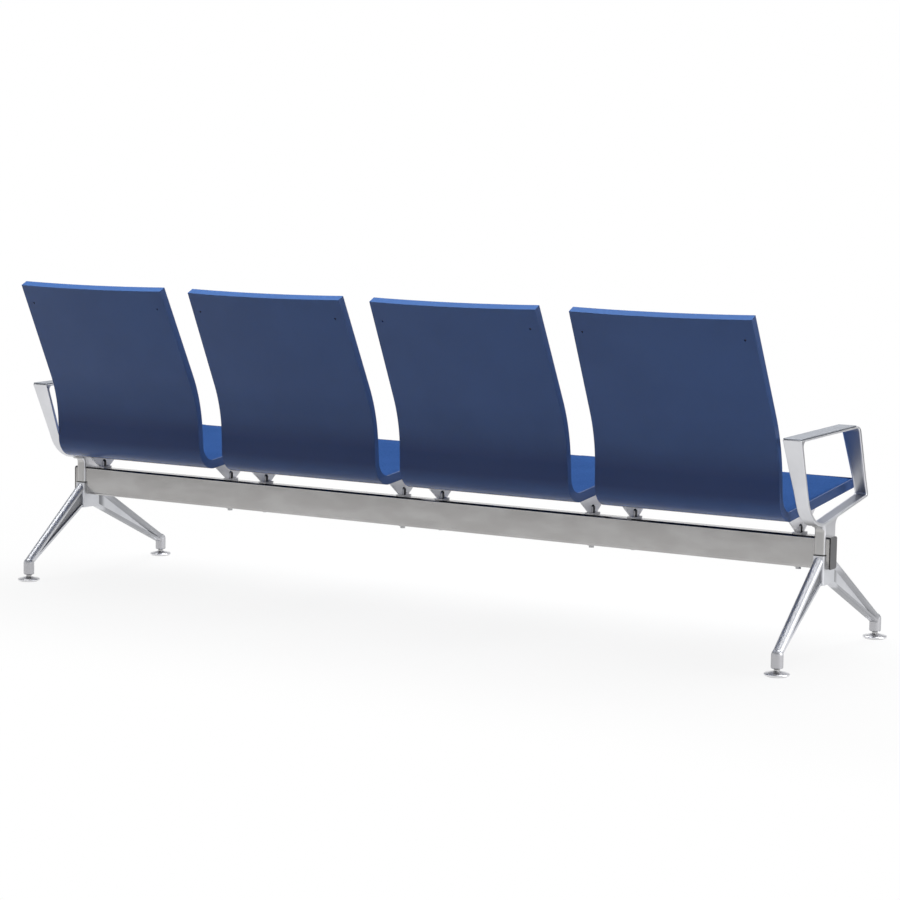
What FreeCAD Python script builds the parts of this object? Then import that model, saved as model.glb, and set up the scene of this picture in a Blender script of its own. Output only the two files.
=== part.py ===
"""Beam seating for four, seen from behind in its photograph.

Millimetres. X runs along the beam, a sitter faces -Y and +Z is up.
The origin lies on the floor under the middle of the bounding box.
"""
import FreeCAD, Part
import math
import os

os.makedirs("parts", exist_ok=True)

V = FreeCAD.Vector

# Row of seats
SEAT_COUNT = 4
SEAT_PITCH = 580.0
SUPPORT_X = 1164.0          # middle of each end support, from the middle of the beam
BEAM_AXIS_Y = 17.0          # beam axis, behind the middle of the footprint
FIT_GAP = 0.2               # between rigid pieces that seat in each other
SOFT_GAP = 0.3              # round a soft piece
RUN_GAP = 0.08              # radial, round a part that turns or slides
CUT_OVER = 1.0              # a cutter runs this far past the faces that it opens
FORM_OVER = 50.0            # a shaping form reaches this far past what it shapes
EDGE_FIND = 0.1             # an edge this near a place is taken to lie there

# Beam
BEAM_HIGH = 80.0
BEAM_DEEP = 40.0
BEAM_WALL = 3.0
BEAM_CORNER_R = 7.0
BEAM_Z = 265.5              # beam axis above the floor
BEAM_STUB = 9.0             # tube that stands out past each casting
CAP_FLANGE = 3.5
CAP_EDGE_R = 1.2
CAP_PLUG = 16.0
CAP_PLUG_WALL = 2.5
CAP_PLUG_CORNER_R = 2.5

# Seat side outline: three straights, the underside of the pan, the lower and the upper back
SEAT_WIDE = 506.0           # at the bend
SEAT_NARROWING = 10.0       # each side, from the bend to the top edge
PAN_FRONT_Y = -286.0
PAN_FRONT_Z = 394.0         # underside of the pan at its front edge
PAN_CORNER_Y = 168.0        # where underside and lower back would meet
PAN_CORNER_Z = 342.5
BACK_KNEE_Y = 178.5         # where lower and upper back would meet
BACK_KNEE_Z = 526.0
BACK_TOP_Y = 336.5
BACK_TOP_Z = 847.0
BEND_R = 60.0               # outside of the bend between pan and back
RECLINE_R = 360.0           # rear side of the bend in the back
PAN_THICK = 24.0
LOW_BACK_THICK = 18.0
TOP_BACK_THICK = 23.0
BACK_WRAP = 9.0             # middle of the top edge lies this far behind its corners
BACK_DIP = 3.5              # and this much lower
SHELL_FLOOR = 4.0
SHELL_RIM = 3.0
HOLLOW_OVER = 12.0          # the tray's cutter reaches this far past its rim
CORE_THICK = 2.0
CORE_INSET = 14.0           # edge of the steel core inside the rim
PAD_CROWN = 3.0
PAD_SQUARENESS = 8          # power of the crown's curve: high is flat with quick edges
PAD_SIDE_DROP = 1.0         # pad edge below the rim
PAD_SECTIONS = (-1, -0.94, -0.82, -0.5, 0, 0.5, 0.82, 0.94, 1)    # shares of the half width

# Seat brackets
BRACKET_INSET = 24.0        # web of a bracket inside the side of its seat
BRACKET_WEB = 4.0
BRACKET_FLANGE = 3.0
BRACKET_FLANGE_WIDE = 34.0
BRACKET_FRONT_Y = -109.0
BRACKET_REAR_Y = 76.0
BRACKET_NECK_FRONT_Y = -23.0  # web where it lands on the foot
FOOT_HALF_DEEP = 17.0
FOOT_WIDE = 28.0
FOOT_THICK = 4.0
FOOT_CORNER_R = 6.0
BOSS_R = 8.0
BOSS_HIGH = 25.0
SCREW_FRONT_Y = -84.0
SCREW_REAR_Y = 46.0
SCREW_SIDE = 10.0           # seat screws, to the side of the bracket web

# Fasteners
BOLT_R = 4.0
HOLE_PLAY = 0.5             # radial, round a bolt in a plain hole
HEX_HEAD_AF = 13.0
HEX_HEAD_HIGH = 5.5
LOW_HEAD_R = 7.0
LOW_HEAD_HIGH = 2.2
WASHER_R = 11.0
WASHER_THICK = 1.6
SCREW_R = 3.0
SCREW_HEAD_R = 5.5
SCREW_HEAD_HIGH = 3.5
BUSH_R = 5.0
BUSH_HEAD_R = 7.5
BUSH_HEAD_THICK = 1.0
BACK_SCREW_R = 2.2
BACK_SCREW_INSET = 36.0     # inside the side of the seat at its bend
BACK_SCREW_DOWN = 55.0      # below the top edge, along the back
BACK_SCREW_SUNK = 2.2
CLAMP_R = 5.0
CLAMP_SPREAD = 22.0
CLAMP_HEAD_R = 8.0
CLAMP_HEAD_HIGH = 10.0
CLAMP_SOCKET_AF = 8.0
CLAMP_WASHER_R = 9.0
CLAMP_SEAT_Z = 203.0
CLAMP_GRIP = 24.0           # thread inside the arm casting

# Arm casting, a closed loop of flat bar on a post
SPLIT_Z = 261.0             # joint between arm and leg castings
POST_HALF_WIDE = 14.5
POST_REAR_Y = 28.0
POST_FRONT_Y = -36.0
POST_EDGE_R = 9.0
WEB_FILLET_R = 22.0
POST_FILLET_R = 14.0
POST_FLARE = 1.3            # width of the flare above each fillet, in radii of the fillet
LOOP_TOP_HALF_WIDE = 25.0
LOOP_LOW_HALF_WIDE = 16.5
LOOP_WIDE_Z = 566.0         # the bar is this half width at this height
LOOP_NARROW_Z = 408.0
LOOP_FLARE_R = 1200.0       # where even width passes into taper
LOOP_REAR_TOP = (206.0, 558.5)
LOOP_FRONT_TOP = (-153.0, 566.0)
LOOP_FRONT_LOW = (-238.0, 381.0)
LOOP_REAR_LOW = (105.2, 321.0)
LOOP_REAR_BAR = 10.0
LOOP_TOP_BAR = 5.2
LOOP_FRONT_BAR = 10.0
LOOP_LOW_BAR = 7.0
LOOP_REAR_TOP_R = 2.0
LOOP_FRONT_TOP_R = 27.0
LOOP_FRONT_LOW_R = 9.0
LOOP_REAR_LOW_R = 110.0
LOOP_IN_REAR_TOP_R = 10.0
LOOP_IN_FRONT_TOP_R = 17.0
LOOP_IN_FRONT_LOW_R = 4.0
LOOP_IN_REAR_LOW_R = 105.0
LOOP_EDGE_R = 2.4
PLATE_THICK = 2.6           # armrest plate on the top bar
PLATE_INSET = 0.8
PLATE_GAP = 0.6             # shadow gap between plate and casting, bridged by the screw bosses
PLATE_FRONT_Y = -128.0
PLATE_REAR_Y = 204.0
PLATE_CORNER_R = 3.0
PLATE_EDGE_R = 1.2
PLATE_BOSS = 12.0
PLATE_BOSS_SUNK = 1.0
PLATE_STUD_R = 2.0
PLATE_STUD_DEEP = 3.2
PLATE_STUD_UP = 1.4
PLATE_STUD_SPREAD = 230.0

# Leg casting
HUB_HALF_WIDE = 15.0
HUB_REAR_Y = 30.0
HUB_FRONT_Y = -42.0
HUB_LOW_Z = 187.0
HUB_EDGE_R = 5.0
REAR_FOOT_Y = 254.0
FRONT_FOOT_Y = -348.0
REAR_RIDGE_TOP = (24.5, 261.0)
REAR_RIDGE_LOW = (258.0, 66.0)
FRONT_RIDGE_TOP = (-36.0, 256.0)
FRONT_RIDGE_LOW = (-350.0, 64.0)
REAR_RIM_TOP = (28.0, 188.0)
REAR_RIM_LOW = (246.0, 48.0)
FRONT_RIM_TOP = (-26.0, 188.0)
FRONT_RIM_LOW = (-336.0, 42.0)
RIDGE_HALF_WIDE = 13.0
RIDGE_DEEP = 13.0
RIDGE_LIP = 1.5             # straight flank below the round of the bead
LIMB_WEB_HALF_WIDE = 6.0
RIM_HALF_WIDE = 11.0
RIM_DEEP = 9.0
RIM_BEVEL = 3.0
ANKLE_R = 15.0
ANKLE_LOW_Z = 18.0
ANKLE_TOP_Z = 50.0
ANKLE_EDGE_R = 3.0
THREAD_BUSH_R = 7.5
THREAD_BUSH_LONG = 24.0

# Levelling glides
STEM_R = 5.0
STEM_TOP_Z = 48.0
STEM_NOSE_R = 4.0
STEM_NOSE_LOW_Z = 5.0
STEM_CHAMFER = 1.0
COLLAR_AF = 14.0
COLLAR_LOW_Z = 12.2
COLLAR_HIGH = 3.6
PAD_R = 31.5
PAD_RIM_LOW_Z = 0.8
PAD_RIM_R = 3.0
PAD_DOME_Z = 11.8
PAD_HUB_R = 9.0
RUBBER_R = 27.5
RUBBER_THICK = 3.0

RIM_DEPTHS = (PAN_THICK, LOW_BACK_THICK, TOP_BACK_THICK)
CORE_TOP = SHELL_FLOOR + FIT_GAP + CORE_THICK
BEAM_TOP_Z = BEAM_Z + BEAM_HIGH / 2
BEAM_LOW_Z = BEAM_Z - BEAM_HIGH / 2
BEAM_END_X = SUPPORT_X + HUB_HALF_WIDE + BEAM_STUB
SEAT_XS = [((SEAT_COUNT - 1) / 2 - i) * SEAT_PITCH for i in range(SEAT_COUNT)]
BRACKET_SIDE = SEAT_WIDE / 2 - BRACKET_INSET
BACK_SCREW_SIDE = SEAT_WIDE / 2 - BACK_SCREW_INSET
SIDES = (("left", 1), ("right", -1))


def save(name, shape):
    """Place a finished shape in the row frame and write its STEP file."""
    shape = shape.copy()
    shape.translate(V(0, BEAM_AXIS_Y, 0))
    shape.exportStep("parts/" + name + ".step")
    box = shape.BoundBox
    print("%-24s %2d solids  valid %s  vol %9.0f  X %7.1f %7.1f  Y %6.1f %6.1f  Z %6.1f %6.1f" % (
        name, len(shape.Solids), shape.isValid(), shape.Volume,
        box.XMin, box.XMax, box.YMin, box.YMax, box.ZMin, box.ZMax))


def cylinder(x, y, low, high, radius):
    return Part.makeCylinder(radius, high - low, V(x, y, low))


def block(x0, x1, y0, y1, z0, z1):
    return Part.makeBox(x1 - x0, y1 - y0, z1 - z0, V(x0, y0, z0))


def hexagon(x, y, low, high, across_flats):
    corner = across_flats / math.sqrt(3)
    angles = [math.radians(60 * i) for i in range(7)]
    points = [V(x + corner * math.cos(angle), y + corner * math.sin(angle), low) for angle in angles]
    return Part.Face(Part.makePolygon(points)).extrude(V(0, 0, high - low))


def upright_edges(solid):
    return [edge for edge in solid.Edges if edge.BoundBox.ZLength > solid.BoundBox.ZLength / 2]


def fuse_all(shapes):
    return shapes[0].fuse(shapes[1:]).removeSplitter()


def round_corner(before, corner, after, radius):
    """Tangent points and mid point of the arc that rounds a corner."""
    to_before = (before - corner).normalize()
    to_after = (after - corner).normalize()
    half = to_before.getAngle(to_after) / 2
    reach = radius / math.tan(half)
    centre_way = (to_before + to_after).normalize()
    centre = corner + centre_way * (radius / math.sin(half))
    return corner + to_before * reach, centre - centre_way * radius, corner + to_after * reach


def rounded_outline(corners, radii):
    """Closed wire of straights and arcs; a radius of 0 keeps a corner sharp."""
    count = len(corners)
    starts, ends, edges = [], [], []
    for i, corner in enumerate(corners):
        if radii[i] == 0:
            starts.append(corner)
            ends.append(corner)
            edges.append(None)
            continue
        first, middle, last = round_corner(corners[i - 1], corner, corners[(i + 1) % count], radii[i])
        starts.append(first)
        ends.append(last)
        edges.append(Part.Arc(first, middle, last).toShape())
    outline = []
    for i in range(count):
        if edges[i]:
            outline.append(edges[i])
        following = starts[(i + 1) % count]
        if ends[i].distanceToPoint(following) > 1e-6:
            outline.append(Part.makeLine(ends[i], following))
    return Part.Wire(outline)


def side_plate(points, radii, half_wide, x=0.0):
    """A plate square to X, from its outline of (y, z) points."""
    wire = rounded_outline([V(x - half_wide, y, z) for y, z in points], radii)
    return Part.Face(wire).extrude(V(2 * half_wide, 0, 0))


# Seat

def offset_line(start, end, distance):
    """The line moved sideways, towards the sitter."""
    along = (end - start).normalize()
    across = V(0, -along.z, along.y)
    return start + across * distance, end + across * distance


def meet(line_a, line_b):
    """Point where two lines in one plane of constant X cross."""
    p, p_end = line_a
    q, q_end = line_b
    r = p_end - p
    s = q_end - q
    t = ((q.y - p.y) * s.z - (q.z - p.z) * s.y) / (r.y * s.z - r.z * s.y)
    return p + r * t


def seat_edge(x, depths, trim):
    """Corners of a line of the seat's side view, depths inside its rear outline, trimmed at both ends."""
    bow = 1 - (2 * x / SEAT_WIDE) ** 2
    front = V(x, PAN_FRONT_Y, PAN_FRONT_Z)
    corner = V(x, PAN_CORNER_Y, PAN_CORNER_Z)
    knee_share = (BACK_KNEE_Z - PAN_CORNER_Z) / (BACK_TOP_Z - PAN_CORNER_Z)
    knee = V(x, BACK_KNEE_Y + BACK_WRAP * bow * knee_share, BACK_KNEE_Z)
    top = V(x, BACK_TOP_Y + BACK_WRAP * bow, BACK_TOP_Z - BACK_DIP * bow)
    pan = offset_line(front, corner, depths[0])
    low = offset_line(corner, knee, depths[1])
    high = offset_line(knee, top, depths[2])
    pan_way = (corner - front).normalize()
    high_way = (top - knee).normalize()
    return [pan[0] + pan_way * trim, meet(pan, low), meet(low, high), high[1] - high_way * trim]


def seat_section(x, depths, heights, trim):
    """Closed wire of a layer of the seat at one place across it."""
    rear = seat_edge(x, depths, trim)
    face = seat_edge(x, heights, trim)
    bend_out = BEND_R - depths[1]
    bend_in = BEND_R - heights[1]
    lean_out = RECLINE_R + depths[1]
    lean_in = RECLINE_R + heights[1]
    corners = rear + face[::-1]
    return rounded_outline(corners, [0, bend_out, lean_out, 0, 0, lean_in, bend_in, 0])


def seat_layer(depths, heights, inset):
    """Loft a layer of the seat across its width, bowed like the back, inset from all four edges."""
    half_wide = SEAT_WIDE / 2 - inset
    places = [-half_wide, -half_wide / 2, 0.0, half_wide / 2, half_wide]
    wires = [seat_section(x, depths, heights, inset) for x in places]
    return Part.makeLoft(wires, True, False).common(between_sides(inset))


def between_sides(inset):
    """Space between the slanting sides of a seat, narrower towards the top of its back."""
    slope = SEAT_NARROWING / (BACK_TOP_Z - PAN_CORNER_Z)
    wide = SEAT_WIDE / 2 - inset + slope * FORM_OVER
    slim = SEAT_WIDE / 2 - inset - SEAT_NARROWING - slope * FORM_OVER
    low, high = PAN_CORNER_Z - FORM_OVER, BACK_TOP_Z + FORM_OVER
    front, rear = PAN_FRONT_Y - FORM_OVER, BACK_TOP_Y + FORM_OVER
    corners = [V(-wide, front, low), V(wide, front, low), V(slim, front, high), V(-slim, front, high)]
    return Part.Face(rounded_outline(corners, [0] * 4)).extrude(V(0, rear - front, 0))


def flat_depths(depth):
    return (depth, depth, depth)


def make_shell():
    """Moulded tray: rear skin with a rim all round."""
    body = seat_layer(flat_depths(0), RIM_DEPTHS, 0)
    above_rim = tuple(depth + HOLLOW_OVER for depth in RIM_DEPTHS)
    hollow = seat_layer(flat_depths(SHELL_FLOOR), above_rim, SHELL_RIM)
    top = SHELL_FLOOR + CUT_OVER
    holes = [pan_pin(x, y, -CUT_OVER, top, BUSH_R + FIT_GAP) for x, y in bush_places()]
    for side in (-1, 1):
        holes.append(back_pin(side * BACK_SCREW_SIDE, -CUT_OVER, top, BACK_SCREW_R + HOLE_PLAY))
    return body.cut([hollow] + holes)


def make_core():
    """Bent steel plate between shell and pad."""
    low = SHELL_FLOOR + FIT_GAP
    plate = seat_layer(flat_depths(low), flat_depths(low + CORE_THICK), SHELL_RIM + CORE_INSET)
    top = CORE_TOP + CUT_OVER
    holes = [pan_pin(x, y, 0, top, BUSH_R + FIT_GAP) for x, y in bush_places()]
    holes += [back_pin(side * BACK_SCREW_SIDE, 0, top, BACK_SCREW_R) for side in (-1, 1)]
    return plate.cut(holes)


def make_pad():
    """Upholstered pad that fills the tray and crowns over its rim."""
    low = CORE_TOP + SOFT_GAP
    inset = SHELL_RIM + SOFT_GAP
    half = SEAT_WIDE / 2 - inset
    wires = []
    for share in PAD_SECTIONS:
        rise = (PAD_CROWN + PAD_SIDE_DROP) * (1 - share ** PAD_SQUARENESS) - PAD_SIDE_DROP
        face = tuple(depth + rise for depth in RIM_DEPTHS)
        wires.append(seat_section(half * share, flat_depths(low), face, inset))
    pad = Part.makeLoft(wires, True, False).common(between_sides(inset))
    return pad.cut(fuse_all([bush_space(x, y) for x, y in bush_places()]))


def underside_z(y):
    """Height of the underside of the pan, in its flat stretch."""
    slope = (PAN_CORNER_Z - PAN_FRONT_Z) / (PAN_CORNER_Y - PAN_FRONT_Y)
    return PAN_FRONT_Z + slope * (y - PAN_FRONT_Y)


def pan_normal():
    """Unit vector square to the pan, towards the sitter."""
    slope = (PAN_CORNER_Z - PAN_FRONT_Z) / (PAN_CORNER_Y - PAN_FRONT_Y)
    return V(0, -slope, 1).normalize()


def bush_places():
    """Seat screws as (x, y) about the middle of a seat, two in each bracket, inside its web."""
    side_x = BRACKET_SIDE - SCREW_SIDE
    return [(x, y) for x in (-side_x, side_x) for y in (SCREW_FRONT_Y, SCREW_REAR_Y)]


def pan_pin(x, y, start, end, radius):
    """Cylinder square to the pan, from one depth inside its underside to another."""
    normal = pan_normal()
    foot = V(x, y, underside_z(y))
    return Part.makeCylinder(radius, end - start, foot + normal * start, normal)


def bush_space(x, y):
    return pan_pin(x, y, 0, CORE_TOP + BUSH_HEAD_THICK + SOFT_GAP, BUSH_HEAD_R + SOFT_GAP)


def back_pin(x, start, end, radius):
    """Cylinder square to the upper back, at the screw place of one side."""
    knee, top = seat_edge(x, flat_depths(0), 0)[2:]
    way = (top - knee).normalize()
    normal = V(0, -way.z, way.y)
    foot = top - way * BACK_SCREW_DOWN
    return Part.makeCylinder(radius, end - start, foot + normal * start, normal)


def make_seat_bushes():
    """Headed bushes with a thread, through shell and core, two over each bracket."""
    top = CORE_TOP + BUSH_HEAD_THICK
    bushes = []
    for seat_x in SEAT_XS:
        for x, y in bush_places():
            sleeve = pan_pin(seat_x + x, y, 0, top, BUSH_R)
            head = pan_pin(seat_x + x, y, CORE_TOP, top, BUSH_HEAD_R)
            thread = pan_pin(seat_x + x, y, -CUT_OVER, top + CUT_OVER, SCREW_R)
            bushes.append(fuse_all([sleeve, head]).cut(thread))
    return Part.makeCompound(bushes)


def make_seat_screws():
    """Button-head screws from under the bracket flanges into the bushes."""
    screws = []
    for seat_x in SEAT_XS:
        for x, y in bush_places():
            shank = pan_pin(seat_x + x, y, -BRACKET_FLANGE, CORE_TOP, SCREW_R)
            head = pan_pin(seat_x + x, y, -BRACKET_FLANGE - SCREW_HEAD_HIGH, -BRACKET_FLANGE, SCREW_HEAD_R)
            rim = [edge for edge in head.Edges if edge.Closed and edge.CenterOfMass.z < head.CenterOfMass.z]
            screws.append(fuse_all([shank, head.makeFillet(SCREW_HEAD_HIGH / 2, rim)]))
    return Part.makeCompound(screws)


def make_back_screws():
    """Sunk screws near the top corners of each back, into the core."""
    screws = []
    for seat_x in SEAT_XS:
        for side in (-1, 1):
            screw = back_pin(side * BACK_SCREW_SIDE, BACK_SCREW_SUNK, CORE_TOP, BACK_SCREW_R)
            screw.translate(V(seat_x, 0, 0))
            screws.append(screw)
    return Part.makeCompound(screws)


# Seat brackets

def make_bracket(x):
    """Web between a flange under the pan and a foot on the beam, with a boss for its bolt."""
    sunk = FOOT_THICK / 2
    web_outline = [(FOOT_HALF_DEEP - sunk, BEAM_TOP_Z + sunk),
                   (BRACKET_NECK_FRONT_Y, BEAM_TOP_Z + sunk),
                   (BRACKET_FRONT_Y, underside_z(BRACKET_FRONT_Y) - BRACKET_FLANGE / 2),
                   (BRACKET_REAR_Y, underside_z(BRACKET_REAR_Y) - BRACKET_FLANGE / 2)]
    web = side_plate(web_outline, [0, 0, 0, 0], BRACKET_WEB / 2, x)
    flange_outline = [(BRACKET_FRONT_Y, underside_z(BRACKET_FRONT_Y)),
                      (BRACKET_REAR_Y, underside_z(BRACKET_REAR_Y)),
                      (BRACKET_REAR_Y, underside_z(BRACKET_REAR_Y) - BRACKET_FLANGE),
                      (BRACKET_FRONT_Y, underside_z(BRACKET_FRONT_Y) - BRACKET_FLANGE)]
    flange = side_plate(flange_outline, [0, 0, 0, 0], BRACKET_FLANGE_WIDE / 2, x)
    foot = block(x - FOOT_WIDE / 2, x + FOOT_WIDE / 2, BRACKET_NECK_FRONT_Y, FOOT_HALF_DEEP,
                 BEAM_TOP_Z, BEAM_TOP_Z + FOOT_THICK)
    foot = foot.makeFillet(FOOT_CORNER_R, upright_edges(foot))
    dome_z = BEAM_TOP_Z + BOSS_HIGH - BOSS_R
    boss = cylinder(x, 0, BEAM_TOP_Z, dome_z, BOSS_R)
    dome = Part.makeSphere(BOSS_R, V(x, 0, dome_z), V(0, 0, 1), 0, 90)
    body = fuse_all([web, flange, foot, boss, dome])
    return body.cut([cylinder(x, 0, BEAM_TOP_Z - CUT_OVER, dome_z, BOLT_R)] + bracket_holes(x))


def bracket_holes(x):
    """Clearance holes for the seat screws that fall in one bracket's flange."""
    holes = []
    low = -BRACKET_FLANGE - CUT_OVER
    radius = SCREW_R + HOLE_PLAY / 2
    for seat_x in SEAT_XS:
        for place_x, place_y in bush_places():
            if abs(seat_x + place_x - x) < BRACKET_FLANGE_WIDE:
                holes.append(pan_pin(seat_x + place_x, place_y, low, CUT_OVER, radius))
    return holes


def bolt_xs(side):
    return [seat_x + side * BRACKET_SIDE for seat_x in SEAT_XS]


def make_bracket_bolts(side):
    """Bolts up through the beam into the bosses. Only those on the right stand out far below."""
    top = BEAM_TOP_Z + BOSS_HIGH - BOSS_R
    bolts = []
    for x in bolt_xs(side):
        if side < 0:
            head_top = BEAM_LOW_Z - WASHER_THICK
            head = hexagon(x, 0, head_top - HEX_HEAD_HIGH, head_top, HEX_HEAD_AF)
            bolts.append(fuse_all([head, cylinder(x, 0, head_top, top, BOLT_R)]))
        else:
            head = cylinder(x, 0, BEAM_LOW_Z - LOW_HEAD_HIGH, BEAM_LOW_Z, LOW_HEAD_R)
            bolts.append(fuse_all([head, cylinder(x, 0, BEAM_LOW_Z, top, BOLT_R)]))
    return Part.makeCompound(bolts)


def make_bolt_washers():
    washers = []
    for x in bolt_xs(-1):
        low = BEAM_LOW_Z - WASHER_THICK
        disc = cylinder(x, 0, low, BEAM_LOW_Z, WASHER_R)
        washers.append(disc.cut(cylinder(x, 0, low, BEAM_LOW_Z, BOLT_R + HOLE_PLAY)))
    return Part.makeCompound(washers)


# Beam

def beam_profile(high, deep, corner_r, x0, x1):
    """Rectangular bar along X with rounded corners."""
    y, z = deep / 2, high / 2
    corners = [V(x0, -y, BEAM_Z - z), V(x0, y, BEAM_Z - z), V(x0, y, BEAM_Z + z), V(x0, -y, BEAM_Z + z)]
    return Part.Face(rounded_outline(corners, [corner_r] * 4)).extrude(V(x1 - x0, 0, 0))


def make_beam():
    tube = beam_profile(BEAM_HIGH, BEAM_DEEP, BEAM_CORNER_R, -BEAM_END_X, BEAM_END_X)
    inside = beam_profile(BEAM_HIGH - 2 * BEAM_WALL, BEAM_DEEP - 2 * BEAM_WALL, BEAM_CORNER_R - BEAM_WALL,
                          -BEAM_END_X - CUT_OVER, BEAM_END_X + CUT_OVER)
    holes = []
    for x in bolt_xs(-1) + bolt_xs(1):
        holes.append(cylinder(x, 0, BEAM_LOW_Z - CUT_OVER, BEAM_TOP_Z + CUT_OVER, BOLT_R + HOLE_PLAY))
    for x, y in clamp_places():
        holes.append(cylinder(x, y, BEAM_LOW_Z - CUT_OVER, BEAM_TOP_Z + CUT_OVER, CLAMP_R + HOLE_PLAY))
    return tube.cut([inside] + holes)


def make_beam_cap(side):
    """Plastic cap with a hollow plug in the end of the tube."""
    flange = beam_profile(BEAM_HIGH, BEAM_DEEP, BEAM_CORNER_R, BEAM_END_X, BEAM_END_X + CAP_FLANGE)
    face = [edge for edge in flange.Edges if edge.BoundBox.XMin > BEAM_END_X + CAP_FLANGE - EDGE_FIND]
    flange = flange.makeFillet(CAP_EDGE_R, face)
    room = 2 * (BEAM_WALL + FIT_GAP)
    plug = beam_profile(BEAM_HIGH - room, BEAM_DEEP - room, BEAM_CORNER_R - BEAM_WALL,
                        BEAM_END_X - CAP_PLUG, BEAM_END_X)
    room += 2 * CAP_PLUG_WALL
    hollow = beam_profile(BEAM_HIGH - room, BEAM_DEEP - room, CAP_PLUG_CORNER_R,
                          BEAM_END_X - CAP_PLUG - CUT_OVER, BEAM_END_X - CAP_PLUG_WALL)
    cap = fuse_all([flange, plug]).cut(hollow)
    return cap if side > 0 else cap.mirror(V(0, 0, 0), V(1, 0, 0))


# End supports

def clamp_ys():
    return (-CLAMP_SPREAD / 2, CLAMP_SPREAD / 2)


def clamp_places():
    return [(side * SUPPORT_X, y) for _, side in SIDES for y in clamp_ys()]


def beam_seat():
    """Space that the beam takes in the castings, with its fit."""
    return beam_profile(BEAM_HIGH + 2 * FIT_GAP, BEAM_DEEP + 2 * FIT_GAP, BEAM_CORNER_R,
                        -BEAM_END_X, BEAM_END_X)


def narrowing_prism(x, low, high):
    """The loop's width seen from the rear: even below, then a taper to its wide top."""
    wide, slim = LOOP_TOP_HALF_WIDE, LOOP_LOW_HALF_WIDE
    rise = (wide - slim) / (LOOP_WIDE_Z - LOOP_NARROW_Z)
    top = wide + rise * (high - LOOP_WIDE_Z)
    points = [(-slim, low), (slim, low), (slim, LOOP_NARROW_Z),
              (top, high), (-top, high), (-slim, LOOP_NARROW_Z)]
    front = LOOP_FRONT_LOW[0] - FORM_OVER
    rear = LOOP_REAR_TOP[0] + FORM_OVER
    corners = [V(x + across, front, z) for across, z in points]
    wire = rounded_outline(corners, [0, 0, LOOP_FLARE_R, 0, 0, LOOP_FLARE_R])
    return Part.Face(wire).extrude(V(0, rear - front, 0))


def loop_space(x, share):
    """Wide plate inside the loop's outline: 0 fills the whole outline, 1 only the hollow within the bar."""
    outer = [V(0, *LOOP_REAR_TOP), V(0, *LOOP_FRONT_TOP), V(0, *LOOP_FRONT_LOW), V(0, *LOOP_REAR_LOW)]
    walls = [LOOP_TOP_BAR, LOOP_FRONT_BAR, LOOP_LOW_BAR, LOOP_REAR_BAR]
    outer_radii = [LOOP_REAR_TOP_R, LOOP_FRONT_TOP_R, LOOP_FRONT_LOW_R, LOOP_REAR_LOW_R]
    inner_radii = [LOOP_IN_REAR_TOP_R, LOOP_IN_FRONT_TOP_R, LOOP_IN_FRONT_LOW_R, LOOP_IN_REAR_LOW_R]
    sides = [offset_line(outer[i], outer[(i + 1) % 4], share * walls[i]) for i in range(4)]
    corners = [meet(sides[i - 1], sides[i]) for i in range(4)]
    radii = [(1 - share) * outer_radii[i] + share * inner_radii[i] for i in range(4)]
    return side_plate([(p.y, p.z) for p in corners], radii, LOOP_TOP_HALF_WIDE + CUT_OVER, x)


def loop_low_z(y):
    """Underside of the loop's lower bar, in its straight stretch."""
    slope = (LOOP_REAR_LOW[1] - LOOP_FRONT_LOW[1]) / (LOOP_REAR_LOW[0] - LOOP_FRONT_LOW[0])
    return LOOP_FRONT_LOW[1] + slope * (y - LOOP_FRONT_LOW[0])


def loop_top_z(y):
    """Top of the casting's upper bar."""
    slope = (LOOP_REAR_TOP[1] - LOOP_FRONT_TOP[1]) / (LOOP_REAR_TOP[0] - LOOP_FRONT_TOP[0])
    return LOOP_FRONT_TOP[1] + slope * (y - LOOP_FRONT_TOP[0])


def make_loop(x):
    """Flat bar bent into a closed loop, its long edges rounded."""
    ring = loop_space(x, 0).cut(loop_space(x, 1))
    width = narrowing_prism(x, LOOP_REAR_LOW[1] - FORM_OVER, LOOP_REAR_TOP[1] + FORM_OVER)
    ring = ring.common(width).removeSplitter()
    rims = [edge for edge in ring.Edges if abs(edge.CenterOfMass.x - x) > LOOP_LOW_HALF_WIDE - EDGE_FIND
            and edge.BoundBox.XLength < LOOP_LOW_HALF_WIDE and not crosses_side(edge)]
    return ring.makeFillet(LOOP_EDGE_R, rims)


def crosses_side(edge):
    """True for a seam across a side face, where the taper starts or ends."""
    return edge.BoundBox.ZLength < EDGE_FIND and edge.BoundBox.XLength < EDGE_FIND


def make_post(x):
    """Post under the loop, flared into it at both ends, its rear corners rounded."""
    rear = POST_REAR_Y + POST_FLARE * POST_FILLET_R
    front = POST_FRONT_Y - POST_FLARE * WEB_FILLET_R
    top = LOOP_REAR_BAR + 2 * POST_EDGE_R
    outline = [(POST_REAR_Y, SPLIT_Z), (POST_REAR_Y, loop_low_z(POST_REAR_Y)), (rear, loop_low_z(rear)),
               (rear, loop_low_z(rear) + top), (front, loop_low_z(front) + top), (front, loop_low_z(front)),
               (POST_FRONT_Y, loop_low_z(POST_FRONT_Y)), (POST_FRONT_Y, SPLIT_Z)]
    post = side_plate(outline, [0, POST_FILLET_R, 0, 0, 0, 0, WEB_FILLET_R, 0], POST_HALF_WIDE, x)
    rear_edges = [edge for edge in post.Edges if edge.BoundBox.YMin > POST_REAR_Y - EDGE_FIND
                  and edge.BoundBox.ZMin < SPLIT_Z + EDGE_FIND and edge.BoundBox.XLength < EDGE_FIND]
    mid_bar = 0.5
    return post.makeFillet(POST_EDGE_R, rear_edges).cut(loop_space(x, mid_bar))


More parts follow.
